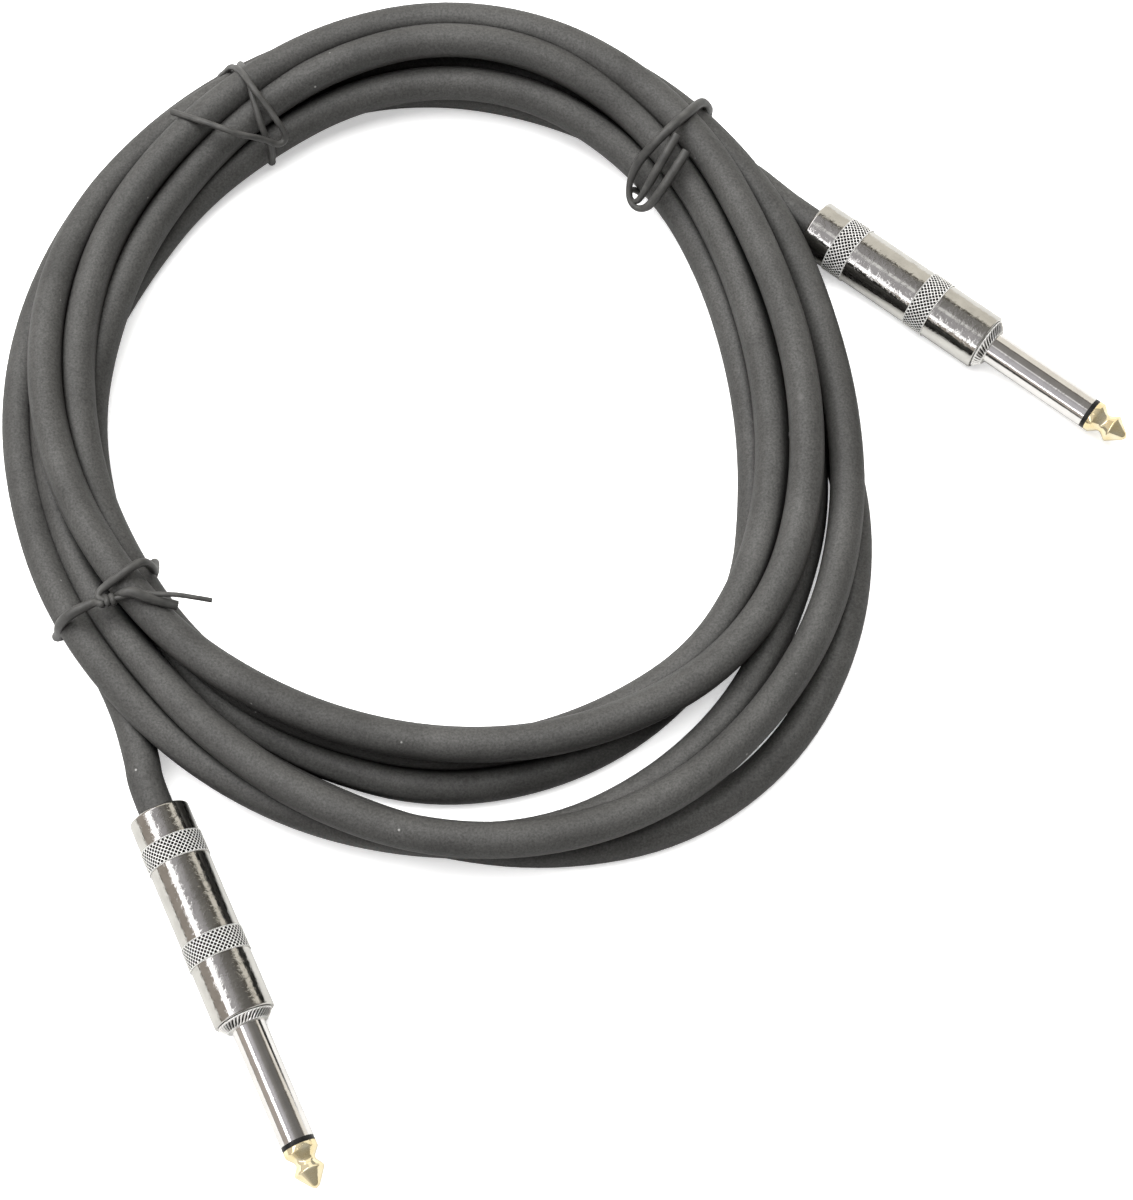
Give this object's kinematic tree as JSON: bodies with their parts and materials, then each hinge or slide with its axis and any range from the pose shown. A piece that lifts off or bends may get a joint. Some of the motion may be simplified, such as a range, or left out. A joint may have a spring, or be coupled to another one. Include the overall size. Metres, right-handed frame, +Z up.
{
  "type": "instrument cable",
  "caption": "Coiled cable with a straight quarter inch phone plug at each end, tied with wire twist ties, for carrying an instrument's signal to an amplifier",
  "frame": {"origin": "On the table, under the middle of the box round both plugs and the three ties", "axes": "+Z up from the table, square to the lying coil; +X to the right and +Y away from the viewer of the picture, so plug 1 lies at +X +Y and plug 2 at -X -Y"},
  "size_m": [0.2211, 0.2388, 0.0215],
  "materials": {
    "gold_contact": "polished",
    "nickel_shank": "polished",
    "nickel_barrel": "polished",
    "black_plastic": "matte",
    "tinned_brass": "satin",
    "core_plastic": "matte",
    "copper": "satin",
    "solder": "satin",
    "liner_plastic": "gloss",
    "jacket_rubber": "matte",
    "tie_plastic": "satin"
  },
  "bodies": {
    "cable": {"tip_contact_1": "gold_contact", "tip_insulator_1": "black_plastic", "sleeve_1": "nickel_shank", "ground_lug_1": "tinned_brass", "rear_insulator_1": "black_plastic", "tip_lug_1": "tinned_brass", "core_insulation_1": "core_plastic", "centre_conductor_1": "copper", "tip_solder_1": "solder", "shield_pigtail_1": "copper", "ground_solder_1": "solder", "jacket_end_1": "jacket_rubber", "tip_contact_2": "gold_contact", "tip_insulator_2": "black_plastic", "sleeve_2": "nickel_shank", "ground_lug_2": "tinned_brass", "rear_insulator_2": "black_plastic", "tip_lug_2": "tinned_brass", "core_insulation_2": "core_plastic", "centre_conductor_2": "copper", "tip_solder_2": "solder", "shield_pigtail_2": "copper", "ground_solder_2": "solder", "jacket_end_2": "jacket_rubber", "lead_1": "jacket_rubber", "coil": "jacket_rubber", "lead_2": "jacket_rubber", "twist_tie_1": "tie_plastic", "twist_tie_2": "tie_plastic", "twist_tie_3": "tie_plastic"},
    "liner_1": {"liner_1": "liner_plastic"},
    "barrel_1": {"barrel_1": "nickel_barrel"},
    "liner_2": {"liner_2": "liner_plastic"},
    "barrel_2": {"barrel_2": "nickel_barrel"}
  },
  "joints": [
    {"name": "liner_1_slide", "type": "slide", "parent": "cable", "child": "liner_1", "axis": [-0.7891, 0.6143, 0], "range_m": [0, 0.006]},
    {"name": "barrel_1_turn", "type": "hinge", "parent": "liner_1", "child": "barrel_1", "pos_m": [0.0446, 0.0763, 0.006], "axis": [-0.7891, 0.6143, 0], "range_deg": [0, 2880]},
    {"name": "liner_2_slide", "type": "slide", "parent": "cable", "child": "liner_2", "axis": [-0.4195, 0.9078, 0], "range_m": [0, 0.006]},
    {"name": "barrel_2_turn", "type": "hinge", "parent": "liner_2", "child": "barrel_2", "pos_m": [-0.08185, -0.0468, 0.006], "axis": [-0.4195, 0.9078, 0], "range_deg": [0, 2880]}
  ],
  "couplings": [
    {"joint": "liner_1_slide", "follows": "barrel_1_turn", "m_per_rad": 0.00011937},
    {"joint": "liner_2_slide", "follows": "barrel_2_turn", "m_per_rad": 0.00011937}
  ]
}
